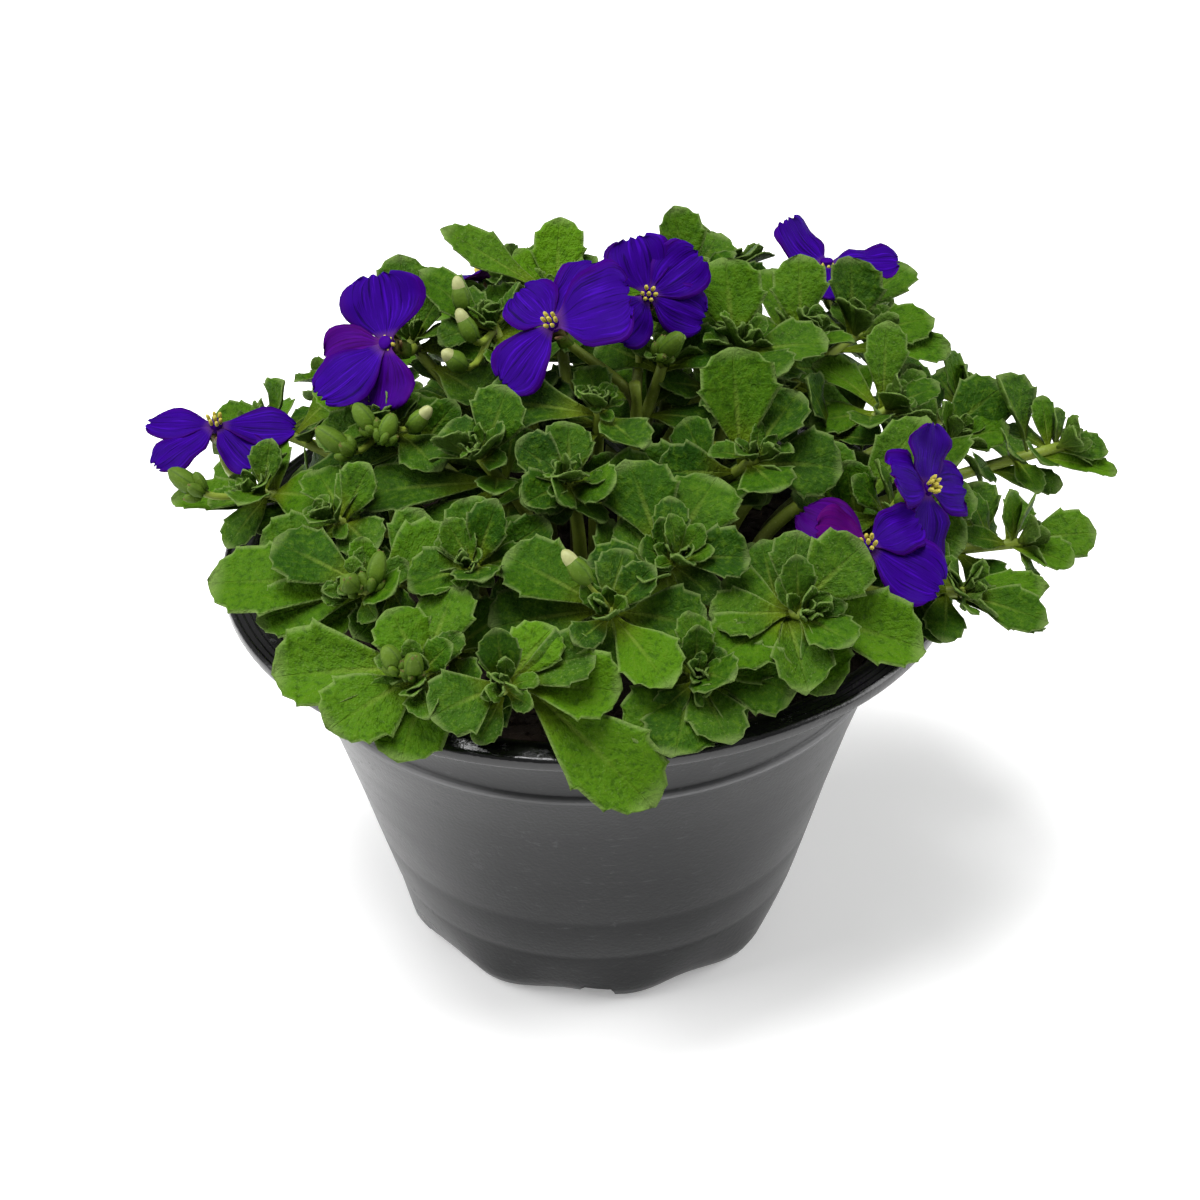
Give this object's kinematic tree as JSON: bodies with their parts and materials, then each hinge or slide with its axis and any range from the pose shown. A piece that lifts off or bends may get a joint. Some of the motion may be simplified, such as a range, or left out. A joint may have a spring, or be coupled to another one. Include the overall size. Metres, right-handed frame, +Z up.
{
  "type": "potted aubrieta",
  "caption": "Low round dark plastic nursery pot of soil with a loose mound of toothed grey-green leaves and four-petalled violet-blue flowers with yellow anthers.",
  "frame": {"origin": "middle of the pot's flat base, on the surface that it stands on", "axes": "+Z up, -Y towards the front that the picture shows, +X to the right of it"},
  "size_m": [0.1581, 0.1388, 0.1204],
  "materials": {
    "pot": "satin dark grey outside, glossy black brim",
    "soil": "rough",
    "leaf": "matt, softly hairy",
    "petal": "velvety",
    "anther": "powdery",
    "bud_tip": "matt"
  },
  "bodies": {
    "root": {"anthers_01": "anther", "anthers_02": "anther", "anthers_03": "anther", "anthers_04": "anther", "anthers_05": "anther", "anthers_06": "anther", "anthers_07": "anther", "anthers_08": "anther", "bud_tip_01": "bud_tip", "bud_tip_02": "bud_tip", "bud_tip_03": "bud_tip", "bud_tip_04": "bud_tip", "bud_tip_06": "bud_tip", "leafy_shoot_01": "leaf", "leafy_shoot_02": "leaf", "leafy_shoot_03": "leaf", "leafy_shoot_04": "leaf", "leafy_shoot_05": "leaf", "leafy_shoot_06": "leaf", "leafy_shoot_07": "leaf", "leafy_shoot_08": "leaf", "leafy_shoot_09": "leaf", "leafy_shoot_10": "leaf", "leafy_shoot_11": "leaf", "leafy_shoot_12": "leaf", "leafy_shoot_13": "leaf", "leafy_shoot_14": "leaf", "leafy_shoot_15": "leaf", "leafy_shoot_16": "leaf", "leafy_shoot_17": "leaf", "leafy_shoot_18": "leaf", "leafy_shoot_19": "leaf", "leafy_shoot_20": "leaf", "leafy_shoot_21": "leaf", "leafy_shoot_22": "leaf", "leafy_shoot_23": "leaf", "leafy_shoot_24": "leaf", "leafy_shoot_25": "leaf", "leafy_shoot_26": "leaf", "leafy_shoot_27": "leaf", "leafy_shoot_28": "leaf", "leafy_shoot_29": "leaf", "leafy_shoot_30": "leaf", "leafy_shoot_31": "leaf", "leafy_shoot_32": "leaf", "leafy_shoot_33": "leaf", "leafy_shoot_34": "leaf", "leafy_shoot_35": "leaf", "leafy_shoot_36": "leaf", "leafy_shoot_37": "leaf", "petals_01": "petal", "petals_02": "petal", "petals_03": "petal", "petals_04": "petal", "petals_05": "petal", "petals_06": "petal", "petals_07": "petal", "petals_08": "petal", "pot": "pot", "soil": "soil"}
  },
  "joints": []
}
